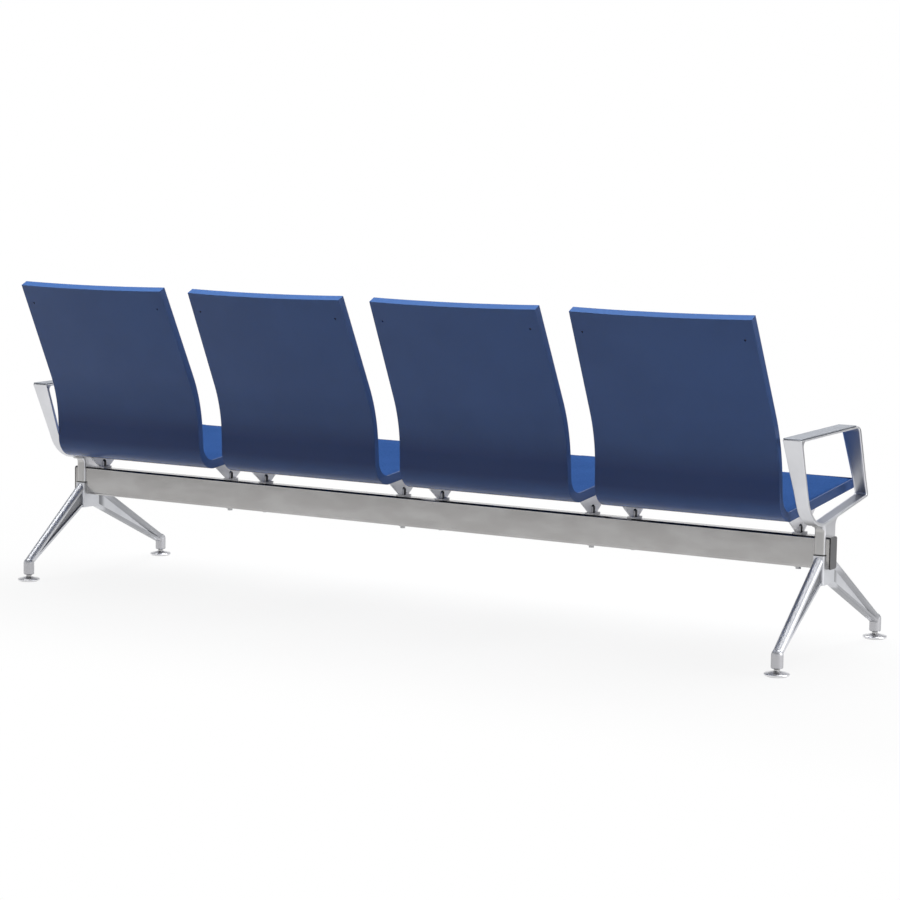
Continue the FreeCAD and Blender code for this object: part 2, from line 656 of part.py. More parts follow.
def make_arm(side):
    """Cast arm: loop, and a post that straddles the upper part of the beam."""
    x = side * SUPPORT_X
    body = fuse_all([make_loop(x), make_post(x)] + [plate_boss(x, y) for y in plate_stud_ys()])
    cuts = [beam_seat()]
    cuts += [cylinder(x, y, BEAM_Z, BEAM_TOP_Z + CLAMP_GRIP, CLAMP_R) for y in clamp_ys()]
    for y in plate_stud_ys():
        top = loop_top_z(y)
        cuts.append(cylinder(x, y, top - PLATE_STUD_DEEP, top + PLATE_GAP + CUT_OVER, PLATE_STUD_R))
    return body.cut(cuts)


def plate_stud_ys():
    middle = (PLATE_REAR_Y + PLATE_FRONT_Y) / 2
    return (middle - PLATE_STUD_SPREAD / 2, middle + PLATE_STUD_SPREAD / 2)


def plate_boss(x, y):
    """Raised seat for the armrest plate; its top lies along the bar."""
    half = PLATE_BOSS / 2
    return bar_slab(x - half, x + half, y - half, y + half, -PLATE_BOSS_SUNK, PLATE_GAP)


def bar_slab(x0, x1, y0, y1, low, high):
    """Slab along the top of the loop, between two heights above it."""
    points = [(y0, loop_top_z(y0) + low), (y1, loop_top_z(y1) + low),
              (y1, loop_top_z(y1) + high), (y0, loop_top_z(y0) + high)]
    return side_plate(points, [0, 0, 0, 0], (x1 - x0) / 2, (x0 + x1) / 2)


def make_arm_top(side):
    """Armrest plate over the top bar."""
    x = side * SUPPORT_X
    half = LOOP_TOP_HALF_WIDE - PLATE_INSET
    plate = bar_slab(x - half, x + half, PLATE_FRONT_Y, PLATE_REAR_Y, PLATE_GAP, PLATE_GAP + PLATE_THICK)
    corners = [edge for edge in plate.Edges if PLATE_THICK / 2 < edge.Length < 2 * PLATE_THICK]
    plate = plate.makeFillet(PLATE_CORNER_R, corners)
    rim = [edge for edge in plate.Edges if edge.CenterOfMass.z - loop_top_z(edge.CenterOfMass.y)
           > PLATE_GAP + PLATE_THICK - EDGE_FIND]
    plate = plate.makeFillet(PLATE_EDGE_R, rim)
    holes = [cylinder(x, y, loop_top_z(y), loop_top_z(y) + PLATE_GAP + PLATE_STUD_UP, PLATE_STUD_R)
             for y in plate_stud_ys()]
    return plate.cut(holes)


def make_arm_top_studs():
    """Studs that hold the armrest plates down, hidden in plate and casting."""
    studs = []
    for _, side in SIDES:
        for y in plate_stud_ys():
            studs.append(cylinder(side * SUPPORT_X, y, loop_top_z(y) - PLATE_STUD_DEEP,
                                  loop_top_z(y) + PLATE_GAP + PLATE_STUD_UP, PLATE_STUD_R))
    return Part.makeCompound(studs)


def limb_bead(x, start, end):
    """Rounded bead whose crest runs from start to end, with a ball at its lower end."""
    head, foot = V(x, *start), V(x, *end)
    way = (foot - head).normalize()
    out = V(0, -way.z, way.y)
    if out.z < 0:
        out = out * -1
    across = V(RIDGE_HALF_WIDE, 0, 0)
    middle = head - out * RIDGE_DEEP
    lip = middle - out * RIDGE_LIP
    root = V(LIMB_WEB_HALF_WIDE, 0, 0)
    under = lip - out * (RIDGE_HALF_WIDE - LIMB_WEB_HALF_WIDE)
    crest = Part.Arc(middle - across, head, middle + across).toShape()
    rest = Part.makePolygon([middle + across, lip + across, under + root, under - root, lip - across,
                             middle - across])
    profile = Part.Face(Part.Wire([crest] + rest.Edges))
    ball = Part.makeSphere(RIDGE_HALF_WIDE, foot - out * RIDGE_DEEP)
    return [profile.extrude(foot - head), ball]


def limb_rim(x, start, end):
    """Flat rim along the underside of a limb, with chamfered lower edges."""
    head, foot = V(x, *start), V(x, *end)
    way = (foot - head).normalize()
    out = V(0, -way.z, way.y)
    if out.z > 0:
        out = out * -1
    half, bevel = RIM_HALF_WIDE, RIM_BEVEL
    points = [(-half, RIM_DEEP), (half, RIM_DEEP), (half, bevel), (half - bevel, 0), (bevel - half, 0),
              (-half, bevel), (-half, RIM_DEEP)]
    profile = Part.makePolygon([head + V(wide, 0, 0) - out * deep for wide, deep in points])
    return Part.Face(profile).extrude(foot - head)


def make_leg(side):
    """Cast leg under the lower part of the beam: hub, two ribbed limbs and two ankles."""
    x = side * SUPPORT_X
    limbs = [(REAR_RIDGE_TOP, REAR_RIDGE_LOW, REAR_RIM_TOP, REAR_RIM_LOW, REAR_FOOT_Y, HUB_REAR_Y),
             (FRONT_RIDGE_TOP, FRONT_RIDGE_LOW, FRONT_RIM_TOP, FRONT_RIM_LOW, FRONT_FOOT_Y, HUB_FRONT_Y)]
    hub = side_plate([(HUB_REAR_Y, SPLIT_Z), (HUB_REAR_Y, HUB_LOW_Z), (HUB_FRONT_Y, HUB_LOW_Z),
                      (HUB_FRONT_Y, SPLIT_Z)], [0, 0, 0, 0], HUB_HALF_WIDE, x)
    hub = hub.makeFillet(HUB_EDGE_R, upright_edges(hub))
    pieces = [hub]
    for ridge_top, ridge_low, rim_top, rim_low, foot_y, hub_y in limbs:
        web = [(hub_y, ridge_top[1] - RIDGE_DEEP), (ridge_low[0], ridge_low[1] - RIDGE_DEEP),
               (rim_low[0], rim_low[1] + RIM_DEEP / 2), (rim_top[0], rim_top[1] + RIM_DEEP / 2)]
        pieces += limb_bead(x, ridge_top, ridge_low)
        pieces.append(limb_rim(x, rim_top, rim_low))
        pieces.append(side_plate(web, [0, 0, 0, 0], LIMB_WEB_HALF_WIDE, x))
        ankle = cylinder(x, foot_y, ANKLE_LOW_Z, ANKLE_TOP_Z, ANKLE_R)
        low = ANKLE_LOW_Z + EDGE_FIND
        low_rim = [edge for edge in ankle.Edges if edge.Closed and edge.CenterOfMass.z < low]
        pieces.append(ankle.makeFillet(ANKLE_EDGE_R, low_rim))
        pieces.append(Part.makeSphere(ANKLE_R, V(x, foot_y, ANKLE_TOP_Z)))
    body = fuse_all(pieces)
    above = block(x - HUB_HALF_WIDE - CUT_OVER, x + HUB_HALF_WIDE + CUT_OVER, FRONT_FOOT_Y, REAR_FOOT_Y,
                  SPLIT_Z, BEAM_TOP_Z)
    cuts = [above, beam_seat()]
    for y in clamp_ys():
        cuts.append(cylinder(x, y, HUB_LOW_Z - CUT_OVER, BEAM_Z, CLAMP_R + HOLE_PLAY))
        cuts.append(cylinder(x, y, HUB_LOW_Z - CUT_OVER, CLAMP_SEAT_Z, CLAMP_WASHER_R + FIT_GAP))
    for foot_y in (REAR_FOOT_Y, FRONT_FOOT_Y):
        bush_top = ANKLE_LOW_Z + THREAD_BUSH_LONG
        cuts.append(cylinder(x, foot_y, ANKLE_LOW_Z - CUT_OVER, bush_top, THREAD_BUSH_R))
        cuts.append(cylinder(x, foot_y, ANKLE_LOW_Z, STEM_TOP_Z + FIT_GAP, STEM_R + HOLE_PLAY))
    return body.cut(cuts)


def make_clamp_bolts():
    """Socket-head bolts up through hub and beam into the arm castings."""
    bolts = []
    head_top = CLAMP_SEAT_Z - WASHER_THICK
    for x, y in clamp_places():
        head_low = head_top - CLAMP_HEAD_HIGH
        head = cylinder(x, y, head_low, head_top, CLAMP_HEAD_R)
        shank = cylinder(x, y, head_top, BEAM_TOP_Z + CLAMP_GRIP, CLAMP_R)
        socket = hexagon(x, y, head_low - CUT_OVER, head_low + CLAMP_HEAD_HIGH / 2, CLAMP_SOCKET_AF)
        bolts.append(fuse_all([head, shank]).cut(socket))
    return Part.makeCompound(bolts)


def make_clamp_washers():
    washers = []
    for x, y in clamp_places():
        low = CLAMP_SEAT_Z - WASHER_THICK
        disc = cylinder(x, y, low, CLAMP_SEAT_Z, CLAMP_WASHER_R)
        washers.append(disc.cut(cylinder(x, y, low, CLAMP_SEAT_Z, CLAMP_R + FIT_GAP)))
    return Part.makeCompound(washers)


def foot_places():
    """Name, x and y of each glide."""
    return [(name + "_" + end, side * SUPPORT_X, y) for name, side in SIDES
            for end, y in (("rear", REAR_FOOT_Y), ("front", FRONT_FOOT_Y))]


def make_thread_bushes():
    """Threaded steel bushes pressed into the ankles."""
    bushes = []
    for _, x, y in foot_places():
        bush = cylinder(x, y, ANKLE_LOW_Z, ANKLE_LOW_Z + THREAD_BUSH_LONG, THREAD_BUSH_R)
        bushes.append(bush.cut(cylinder(x, y, 0, STEM_TOP_Z, STEM_R + RUN_GAP)))
    return Part.makeCompound(bushes)


# Levelling glides

def make_glide_stem(x, y):
    """Threaded stem with a hexagon collar and a nose that swivels in the pad."""
    stem = cylinder(x, y, COLLAR_LOW_Z, STEM_TOP_Z, STEM_R)
    tip = [edge for edge in stem.Edges if edge.Closed and edge.CenterOfMass.z > STEM_TOP_Z - EDGE_FIND]
    stem = stem.makeChamfer(STEM_CHAMFER, tip)
    collar = hexagon(x, y, COLLAR_LOW_Z, COLLAR_LOW_Z + COLLAR_HIGH, COLLAR_AF)
    return fuse_all([stem, collar, cylinder(x, y, STEM_NOSE_LOW_Z, COLLAR_LOW_Z, STEM_NOSE_R)])


def revolve(points, x, y):
    """Ring of material from a half section of (radius, height) points; an arc takes three."""
    edges = []
    for i, point in enumerate(points):
        following = points[(i + 1) % len(points)]
        start = V(x + point[-2], y, point[-1])
        if len(following) == 4:
            middle = V(x + following[0], y, following[1])
            edges.append(Part.Arc(start, middle, V(x + following[2], y, following[3])).toShape())
        else:
            edges.append(Part.makeLine(start, V(x + following[0], y, following[1])))
    return Part.Face(Part.Wire(edges)).revolve(V(x, y, 0), V(0, 0, 1), 360)


def make_glide_pad(x, y):
    """Domed metal disc with a socket for the stem's nose and a recess for its rubber."""
    crown = PAD_RIM_LOW_Z + PAD_RIM_R
    recess = RUBBER_R + FIT_GAP
    inner = PAD_R - PAD_RIM_R
    half_section = [(0, RUBBER_THICK), (recess, RUBBER_THICK),
                    (recess, PAD_RIM_LOW_Z), (inner, PAD_RIM_LOW_Z),
                    (PAD_R, crown, inner, crown + PAD_RIM_R),
                    (PAD_HUB_R, PAD_DOME_Z), (0, PAD_DOME_Z)]
    disc = revolve(half_section, x, y)
    socket = cylinder(x, y, STEM_NOSE_LOW_Z - FIT_GAP, PAD_DOME_Z + CUT_OVER, STEM_NOSE_R + RUN_GAP)
    return disc.cut(socket)


def make_glide_rubber(x, y):
    return cylinder(x, y, 0, RUBBER_THICK, RUBBER_R)


for number, seat_x in enumerate(SEAT_XS, 1):
    for piece, maker in (("shell", make_shell), ("core", make_core), ("pad", make_pad)):
        layer = maker()
        layer.translate(V(seat_x, 0, 0))
        save("seat_%s_%d" % (piece, number), layer)
    for name, side in SIDES:
        save("bracket_%d_%s" % (number, name), make_bracket(seat_x + side * BRACKET_SIDE))
save("seat_bushes", make_seat_bushes())
save("seat_screws", make_seat_screws())
save("back_screws", make_back_screws())
save("beam_tube", make_beam())
for name, side in SIDES:
    save("beam_cap_" + name, make_beam_cap(side))
    save("bracket_bolts_" + name, make_bracket_bolts(side))
    save("arm_" + name, make_arm(side))
    save("arm_top_" + name, make_arm_top(side))
    save("leg_" + name, make_leg(side))
save("bolt_washers", make_bolt_washers())
save("arm_top_studs", make_arm_top_studs())
save("clamp_bolts", make_clamp_bolts())
save("clamp_washers", make_clamp_washers())
save("thread_bushes", make_thread_bushes())
for name, x, y in foot_places():
    save("glide_pad_" + name, make_glide_pad(x, y))
    save("glide_rubber_" + name, make_glide_rubber(x, y))
    save("glide_stem_" + name, make_glide_stem(x, y))
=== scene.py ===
"""Looks of the four-seat beam seating: finishes, upholstered pads, light and camera.

Metres. X runs along the beam, a sitter faces -Y, +Z is up, and the floor is Z = 0.
"""
import math

import bpy
from mathutils import Matrix, Vector


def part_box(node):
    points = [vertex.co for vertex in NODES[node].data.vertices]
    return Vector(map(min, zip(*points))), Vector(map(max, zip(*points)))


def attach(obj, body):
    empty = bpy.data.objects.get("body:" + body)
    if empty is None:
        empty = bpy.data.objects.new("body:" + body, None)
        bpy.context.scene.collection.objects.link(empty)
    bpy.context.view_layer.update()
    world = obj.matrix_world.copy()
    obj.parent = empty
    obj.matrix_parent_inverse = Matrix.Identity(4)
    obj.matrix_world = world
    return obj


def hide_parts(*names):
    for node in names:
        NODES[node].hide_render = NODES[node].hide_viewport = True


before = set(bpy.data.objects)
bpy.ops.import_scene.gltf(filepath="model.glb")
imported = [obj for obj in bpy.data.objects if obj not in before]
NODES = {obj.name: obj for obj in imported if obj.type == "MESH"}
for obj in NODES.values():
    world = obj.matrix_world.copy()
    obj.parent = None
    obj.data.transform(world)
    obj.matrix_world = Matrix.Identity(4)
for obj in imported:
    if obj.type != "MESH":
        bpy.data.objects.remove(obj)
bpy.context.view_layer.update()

# Camera, behind the seats and to the sitter's right; angles in degrees, sensor and lens in millimetres
CAMERA_PLACE = (-3.6284, 5.7376, 1.1965)
CAMERA_AZIMUTH = 211.77
CAMERA_ELEVATION = 6.41
CAMERA_ROLL = 0.79
CAMERA_SENSOR = 36.0
CAMERA_LENS = 101.77

# Light
KEY_PLACE = (0.3, -1.0, 4.0)
KEY_AIM = (0.0, 0.1, 0.4)
KEY_SIZE = (6.0, 3.6)
KEY_WATTS = 290.0
SIDE_PLACE = (-4.6, -0.5, 1.6)
SIDE_AIM = (0.0, -0.2, 0.4)
SIDE_SIZE = (2.4, 2.0)
SIDE_WATTS = 70.0
SKY_LEVEL = 0.05
SKY_OVERHEAD = (0.26, 0.27, 0.29)
FLOOR_COLOUR = (0.80, 0.80, 0.80, 1.0)
FLOOR_SHARE = 0.90          # of the floor's look that is plain white, the rest takes light and shadow
FLOOR_LIT_WIDE = 1.6        # near these distances from the middle the floor turns plain white
FLOOR_LIT_DEEP = 0.8
FLOOR_FADE = (0.8, 1.6)     # the turn starts and ends at these shares of them
FLOOR_REACH = 60.0
SWEEP_HALF_DEEP = 1.9       # white paper under the seating; past it reflections meet grey studio floor
SWEEP_FADE = 0.45
STUDIO_GREY = (0.045, 0.045, 0.055)
SURROUND_LIFT = 0.001

# A face whose normal leans less than about 45 degrees off a direction faces that way
SQUARE_ON = 0.7

# End castings
SEAM_Z = 0.261              # joint between arm and leg
SEAM_HALF = 0.0012
SEAM_FADE = 1.6             # the seam's shadow has faded out at this many half heights
POCKET_HALF_WIDE = 0.009    # side faces this near the middle plane of a leg are in a pocket
POCKET_SIDEWAYS = 0.9       # least sideways share of such a face's normal
CASTING_X = 1.164           # middle plane of the castings, either side of the beam's middle
POST_REAR_TOP_Z = 0.34      # the post's rear face gets painted shade below this
LOOP_LOW_Z = 0.32           # above it the arm is an open loop
LOOP_SIDEWAYS = 0.5         # faces whose normal is more sideways are the loop's flanks
LOOP_WAIST_Z = 0.408        # the loop's bar widens from here
LOOP_SHOULDER_Z = 0.566     # up to here
LOOP_WAIST_HALF = 0.0165
LOOP_SHOULDER_HALF = 0.025
LOOP_RIM = 0.004            # rim either side of the loop's inner faces, left bright outside the painted shade
LOOP_RIM_FADE = 0.001
ANKLE_TOP_Z = (0.048, 0.062)    # here and in the next two the leg's colour changes between the values: darker towards the foot, and painted shade on the front limb
LIMB_TOP_Z = (0.195, 0.225)
FRONT_LIMB_Y = (-0.062, -0.040)

# Brackets
BEAM_Y = 0.017              # the beam's middle plane, on which the bosses stand
FOOT_TOP_Z = 0.310          # a bracket's foot lies below this
BOSS_TOP_Z = 0.331
BOSS_REACH = 0.0086         # just over the radius of a bracket's boss
DOME_UPWARD = 0.4           # least upward share of the normal on its dome
FOOT_PAINTED_SHADE = 0.45            # how far the foot and the boss's middle lean from paint to dark steel: painted shade on the foot, steel and painted shade on the boss
BOSS_MIDDLE_STEEL_AND_SHADE = 0.35

# Beam tube
ROUNDED_EDGE = (0.35, 0.96)     # upward share of the normal on its rounded upper corners, which get a painted dark reflection
ROUNDED_SIDEWAYS = 0.3      # faces whose normal is more sideways are the tube's ends

# Seat shells
RIM_SIDEWAYS = 0.8          # least sideways share of the normal on the rim, which gets painted shade
BAND_RISE_Z = (0.372, 0.412)    # painted dark reflection low on the back, between these heights
BAND_FALL_Z = (0.445, 0.53)
CREST_LOW_Z = 0.8           # upward faces above this are the top edge, which gets painted light

# Seat pads
PAD_WELD = 0.00002          # corners nearer than this are one
PAD_VOXEL = 0.006
PAD_SMOOTHING = 6
PAD_PRESSURE = 4.0
PAD_STIFFNESS = 20.0
PAD_SITTING_WAY = (0.0, -0.6, 0.8)  # the way the sitting side faces
PAD_FACING_GAIN = 2.5       # how soon a face that turns this way swells in full
PAD_FRAMES = 20
PAD_SWELL_CAP = 0.005
PAD_HELD_EDGE = 0.016       # edge strip that stays tucked in the shell
PAD_HELD_SHARE = 0.4        # of that strip is held fast; the hold then fades out over the strip's width


def select_only(*pieces):
    """Select these pieces and nothing else; the last one is active."""
    bpy.ops.object.select_all(action="DESELECT")
    for piece in pieces:
        piece.select_set(True)
    bpy.context.view_layer.objects.active = pieces[-1]


def apply_modifier(piece, kind, **settings):
    """Add one modifier to a piece and apply it."""
    select_only(piece)
    modifier = piece.modifiers.new(kind.lower(), kind)
    for name, value in settings.items():
        setattr(modifier, name, value)
    bpy.ops.object.modifier_apply(modifier=modifier.name)


# Materials

class Socket:
    """An output of a material's node tree; sums and products of sockets add Math nodes."""

    def __init__(self, finish, output):
        self.finish = finish
        self.output = output

    def maths(self, operation, first, second):
        return self.finish.node("ShaderNodeMath", {"operation": operation}, {0: first, 1: second})

    def __add__(self, other):
        return self.maths("ADD", self, other)

    __radd__ = __add__

    def __mul__(self, other):
        return self.maths("MULTIPLY", self, other)

    __rmul__ = __mul__

    def __sub__(self, other):
        return self.maths("SUBTRACT", self, other)

    def __rsub__(self, other):
        return self.maths("SUBTRACT", other, self)

    def __truediv__(self, other):
        return self.maths("DIVIDE", self, other)

    def __abs__(self):
        return self.maths("ABSOLUTE", self, 0.0)

    def most(self, other):
        return self.maths("MAXIMUM", self, other)

    def sine(self):
        return self.maths("SINE", self, 0.0)

    def between(self, low, high):
        """0 below low, 1 above high, smooth from one to the other."""
        return self.finish.node(
            "ShaderNodeMapRange", {"interpolation_type": "SMOOTHSTEP"},
            {"Value": self, "From Min": low, "From Max": high})


class Finish:
    """A material being made, from its main shader outwards."""

    def __init__(self, name):
        self.material = bpy.data.materials.new(name)
        self.material.use_nodes = True
        self.tree = self.material.node_tree
        self.shader = self.tree.nodes["Principled BSDF"]
        self.place = self.node("ShaderNodeTexCoord", output="Object")
        spread = self.node("ShaderNodeSeparateXYZ", inputs={0: self.place})
        self.x, self.y, self.z = (Socket(self, spread.output.node.outputs[i]) for i in range(3))

    def node(self, kind, settings=None, inputs=None, output=0):
        """Any node: its settings are made first, then its sockets are set or linked."""
        made = self.tree.nodes.new(kind)
        for name, value in (settings or {}).items():
            setattr(made, name, value)
        for name, value in (inputs or {}).items():
            self.feed(made.inputs[name], value)
        return Socket(self, made.outputs[output])

    def feed(self, socket, value):
        if isinstance(value, Socket):
            self.tree.links.new(value.output, socket)
        else:
            socket.default_value = value

    def set(self, **values):
        """Set or link the main shader's sockets; an underscore stands for a space."""
        for name, value in values.items():
            self.feed(self.shader.inputs[name.replace("_", " ")], value)

    def noise(self, scale, detail=2.0, roughness=0.5, stretch=None):
        """Noise between 0 and 1, in grains per metre."""
        place = self.place
        if stretch:
            place = self.node("ShaderNodeMapping", inputs={"Vector": self.place, "Scale": stretch})
        return self.node("ShaderNodeTexNoise", inputs={
            "Vector": place, "Scale": scale, "Detail": detail, "Roughness": roughness})

    def blend(self, share, first, second):
        """A colour between two colours."""
        made = self.tree.nodes.new("ShaderNodeMix")
        made.data_type = "RGBA"
        self.feed(made.inputs[0], share)
        for socket, colour in ((made.inputs[6], first), (made.inputs[7], second)):
            self.feed(socket, colour if isinstance(colour, Socket) else (*colour, 1.0))
        return Socket(self, made.outputs[2])

    def sweep_distance(self):
        """1 on the edge of the white paper, less on it and more past it."""
        return abs(self.y / SWEEP_HALF_DEEP)

    def mark(self, name):
        """A mark that this script has put on some faces of a mesh."""
        return self.node("ShaderNodeAttribute", {"attribute_name": name}, output="Fac")

    def seam(self):
        """1 in the shadow gap between arm and leg."""
        return 1.0 - abs(self.z - SEAM_Z).between(SEAM_HALF, SEAM_FADE * SEAM_HALF)

    def bump(self, height, distance, strength=1.0):
        """Turn a height into the shader's normal."""
        self.set(Normal=self.node("ShaderNodeBump", inputs={
            "Height": height, "Distance": distance, "Strength": strength}))


SHELL_BLUE = (0.034, 0.086, 0.262)
SHELL_BLUE_WORN = (0.040, 0.098, 0.290)
# painted dark reflection low on the back
SHELL_PAINTED_REFLECTION_BLUE = (0.020, 0.058, 0.215)
# painted shade on the sideways-facing rim
SHELL_RIM_PAINTED_SHADE_BLUE = (0.040, 0.080, 0.215)
# painted light on the top edge
SHELL_CREST_PAINTED_LIGHT_BLUE = (0.048, 0.155, 0.460)
PAD_BLUE = (0.038, 0.102, 0.300)
PAD_BLUE_DEEP = (0.022, 0.066, 0.212)
THREADS = 3900.0            # turns of the weave's waves, radians per metre


def moulded_shell():
    """Smooth moulded skin with a satin grain, with a painted dark reflection low on the back and painted
    shade on the rim; the top edge is matt and has painted light.
    """
    f = Finish("moulded_shell")
    clouds = f.noise(5.0, detail=3.0)
    specks = f.noise(420.0, detail=2.0)
    crest_painted_light = f.mark("crest_painted_light")
    face = f.blend(clouds.between(0.35, 0.7) * 0.8 + specks * 0.2, SHELL_BLUE, SHELL_BLUE_WORN)
    # painted dark reflection: a darker band low on the back
    painted_reflection_band = f.z.between(*BAND_RISE_Z) * (1.0 - f.z.between(*BAND_FALL_Z))
    # painted shade on the sideways rim
    face = f.blend(f.mark("rim"), f.blend(painted_reflection_band, face, SHELL_PAINTED_REFLECTION_BLUE), SHELL_RIM_PAINTED_SHADE_BLUE)
    # painted light on the top edge, which is also rougher
    f.set(Base_Color=f.blend(crest_painted_light, face, SHELL_CREST_PAINTED_LIGHT_BLUE))
    f.set(Roughness=0.15 + 0.04 * clouds + 0.04 * specks + 0.6 * crest_painted_light, IOR=1.46, Specular_IOR_Level=0.3)
    f.bump(f.noise(900.0, detail=2.0) + 2.0 * f.noise(160.0), 0.00004)
    return f.material


def upholstery():
    """Woven upholstery cloth: crossing threads, each a little lighter or darker than the next."""
    f = Finish("upholstery")
    weave = (f.x * THREADS).sine() * ((f.y + f.z) * THREADS).sine()
    flecks = f.noise(240.0, detail=3.0, roughness=0.7)
    clouds = f.noise(9.0, detail=2.0)
    shade = flecks.between(0.3, 0.7) * 0.6 + clouds.between(0.3, 0.75) * 0.25 + weave * 0.15
    f.set(Base_Color=f.blend(shade, PAD_BLUE_DEEP, PAD_BLUE))
    f.set(Roughness=0.75 + 0.15 * flecks, IOR=1.46, Specular_IOR_Level=0.02)
    f.bump(weave + flecks, 0.0003, 0.6)
    return f.material


def arm_metal():
    """Cast aluminium under a thin satin lacquer; painted shade darkens the loop's inner faces between
    bright rims, and the post's rear face.
    """
    f = Finish("arm_metal")
    clouds = f.noise(11.0, detail=3.0)
    grit = f.noise(700.0, detail=2.0)
    skin = f.blend(clouds.between(0.3, 0.75), (0.66, 0.665, 0.69), (0.73, 0.735, 0.76))
    widening = f.z.between(LOOP_WAIST_Z, LOOP_SHOULDER_Z)
    half = LOOP_WAIST_HALF + (LOOP_SHOULDER_HALF - LOOP_WAIST_HALF) * widening
    across = abs(abs(f.x) - CASTING_X)
    # painted shade on the loop's inner faces, between bright rims
    painted_loop_shade = f.mark("inside") * (1.0 - across.between(half - LOOP_RIM - LOOP_RIM_FADE, half - LOOP_RIM))
    skin = f.blend(painted_loop_shade, skin, (0.44, 0.45, 0.48))
    # painted shade on the post's rear face
    skin = f.blend(f.mark("post_rear_painted_shade"), skin, (0.50, 0.495, 0.49))
    f.set(Base_Color=f.blend(f.seam(), skin, (0.05, 0.05, 0.05)))
    f.set(Metallic=1.0, Roughness=0.28 + 0.06 * clouds + 0.05 * grit)
    f.bump(grit + 2.0 * f.noise(90.0), 0.000015)
    return f.material


def leg_metal():
    """Satin casting; painted shade darkens the pockets of the rear limb and the ridge and rim of the front
    one.
    """
    f = Finish("leg_metal")
    clouds = f.noise(11.0, detail=3.0)
    grit = f.noise(700.0, detail=2.0)
    ankle = 1.0 - f.z.between(*ANKLE_TOP_Z)
    front = 1.0 - f.y.between(*FRONT_LIMB_Y)
    limb = (1.0 - f.z.between(*LIMB_TOP_Z)) * (1.0 - ankle)
    pocket = f.mark("pocket")
    # painted shade in the rear limb's pockets and on the front limb
    painted_shade = pocket * (1.0 - front) + (1.0 - pocket) * front * limb * 0.65
    bright = f.blend(clouds.between(0.3, 0.75), (0.60, 0.61, 0.64), (0.68, 0.69, 0.72))
    satin = f.blend(ankle, bright, (0.50, 0.50, 0.52))
    skin = f.blend(painted_shade, satin, (0.27, 0.275, 0.29))
    f.set(Base_Color=f.blend(f.seam(), skin, (0.05, 0.05, 0.05)))
    f.set(Metallic=1.0, Roughness=0.40 + 0.03 * clouds + 0.03 * grit + 0.05 * painted_shade)
    f.bump(grit * (1.0 + 4.0 * painted_shade), 0.000015)
    return f.material


def plate_metal():
    """Brushed aluminium plate, lines along the armrest."""
    f = Finish("plate_metal")
    lines = f.noise(1.0, detail=3.0, stretch=(1500.0, 18.0, 400.0))
    streaks = f.noise(1.0, detail=2.0, stretch=(260.0, 4.0, 60.0))
    f.set(Base_Color=f.blend(lines * 0.6 + streaks * 0.4, (0.22, 0.24, 0.275), (0.40, 0.42, 0.46)))
    f.set(Metallic=1.0, Roughness=0.32 + 0.14 * lines)
    f.bump(lines, 0.00003)
    return f.material


def beam_metal():
    """Bright drawn steel with faint warm clouds and fine lengthwise lines, with a painted dark reflection
    along its rounded edges.
    """
    f = Finish("beam_metal")
    clouds = f.noise(1.0, detail=3.0, stretch=(9.0, 14.0, 22.0))
    lines = f.noise(1.0, detail=2.0, stretch=(4.0, 900.0, 900.0))
    shade = clouds.between(0.3, 0.75) * 0.8 + lines * 0.2
    skin = f.blend(shade, (0.40, 0.392, 0.385), (0.49, 0.485, 0.48))
    # painted dark reflection along the rounded upper corners
    f.set(Base_Color=f.blend(f.mark("edge"), skin, (0.05, 0.05, 0.055)))
    f.set(Metallic=1.0, Roughness=0.15 + 0.05 * lines + 0.03 * clouds)
    f.bump(lines, 0.000012)
    return f.material


def bracket_paint():
    """Light grey powder paint over sheet steel; where marked, dark steel: the boss is steel, and the
    near-black there and on the foot is painted shade.
    """
    f = Finish("bracket_paint")
    peel = f.noise(260.0, detail=2.0)
    steel_and_shade = f.mark("steel_and_shade")
    paint = f.blend(f.noise(30.0), (0.71, 0.71, 0.74), (0.79, 0.79, 0.82))
    # dark steel with painted shade on the boss and foot
    f.set(Base_Color=f.blend(steel_and_shade, paint, (0.035, 0.035, 0.04)))
    f.set(Metallic=0.25 + 0.6 * steel_and_shade, Roughness=0.36 + 0.1 * peel - 0.16 * steel_and_shade)
    f.bump(peel, 0.00008)
    return f.material


def plated(name, colour, rough):
    """Plated hardware, with fine turning marks."""
    f = Finish(name)
    marks = f.noise(1.0, detail=3.0, stretch=(120.0, 120.0, 2400.0))
    f.set(Base_Color=f.blend(marks, [0.8 * c for c in colour], colour))
    f.set(Metallic=1.0, Roughness=rough + 0.1 * marks)
    f.bump(marks, 0.00002)
    return f.material


def dark_plastic(name, colour, rough):
    """Moulded plastic or rubber with a fine spark-eroded grain, with blotched painted shade on any marked
    edge.
    """
    f = Finish(name)
    grain = f.noise(800.0, detail=3.0)
    skin = f.blend(grain, [0.75 * c for c in colour], [1.2 * c for c in colour])
    blotches = f.noise(150.0, detail=3.0).between(0.45, 0.65)
    # blotched painted shade on marked edges
    edge_painted_shade = f.blend(blotches, [0.08 * c for c in colour], [0.5 * c for c in colour])
    f.set(Base_Color=f.blend(f.mark("edge"), skin, edge_painted_shade), Specular_IOR_Level=0.3)
    f.set(Roughness=rough + 0.1 * grain)
    f.bump(grain, 0.00006)
    return f.material


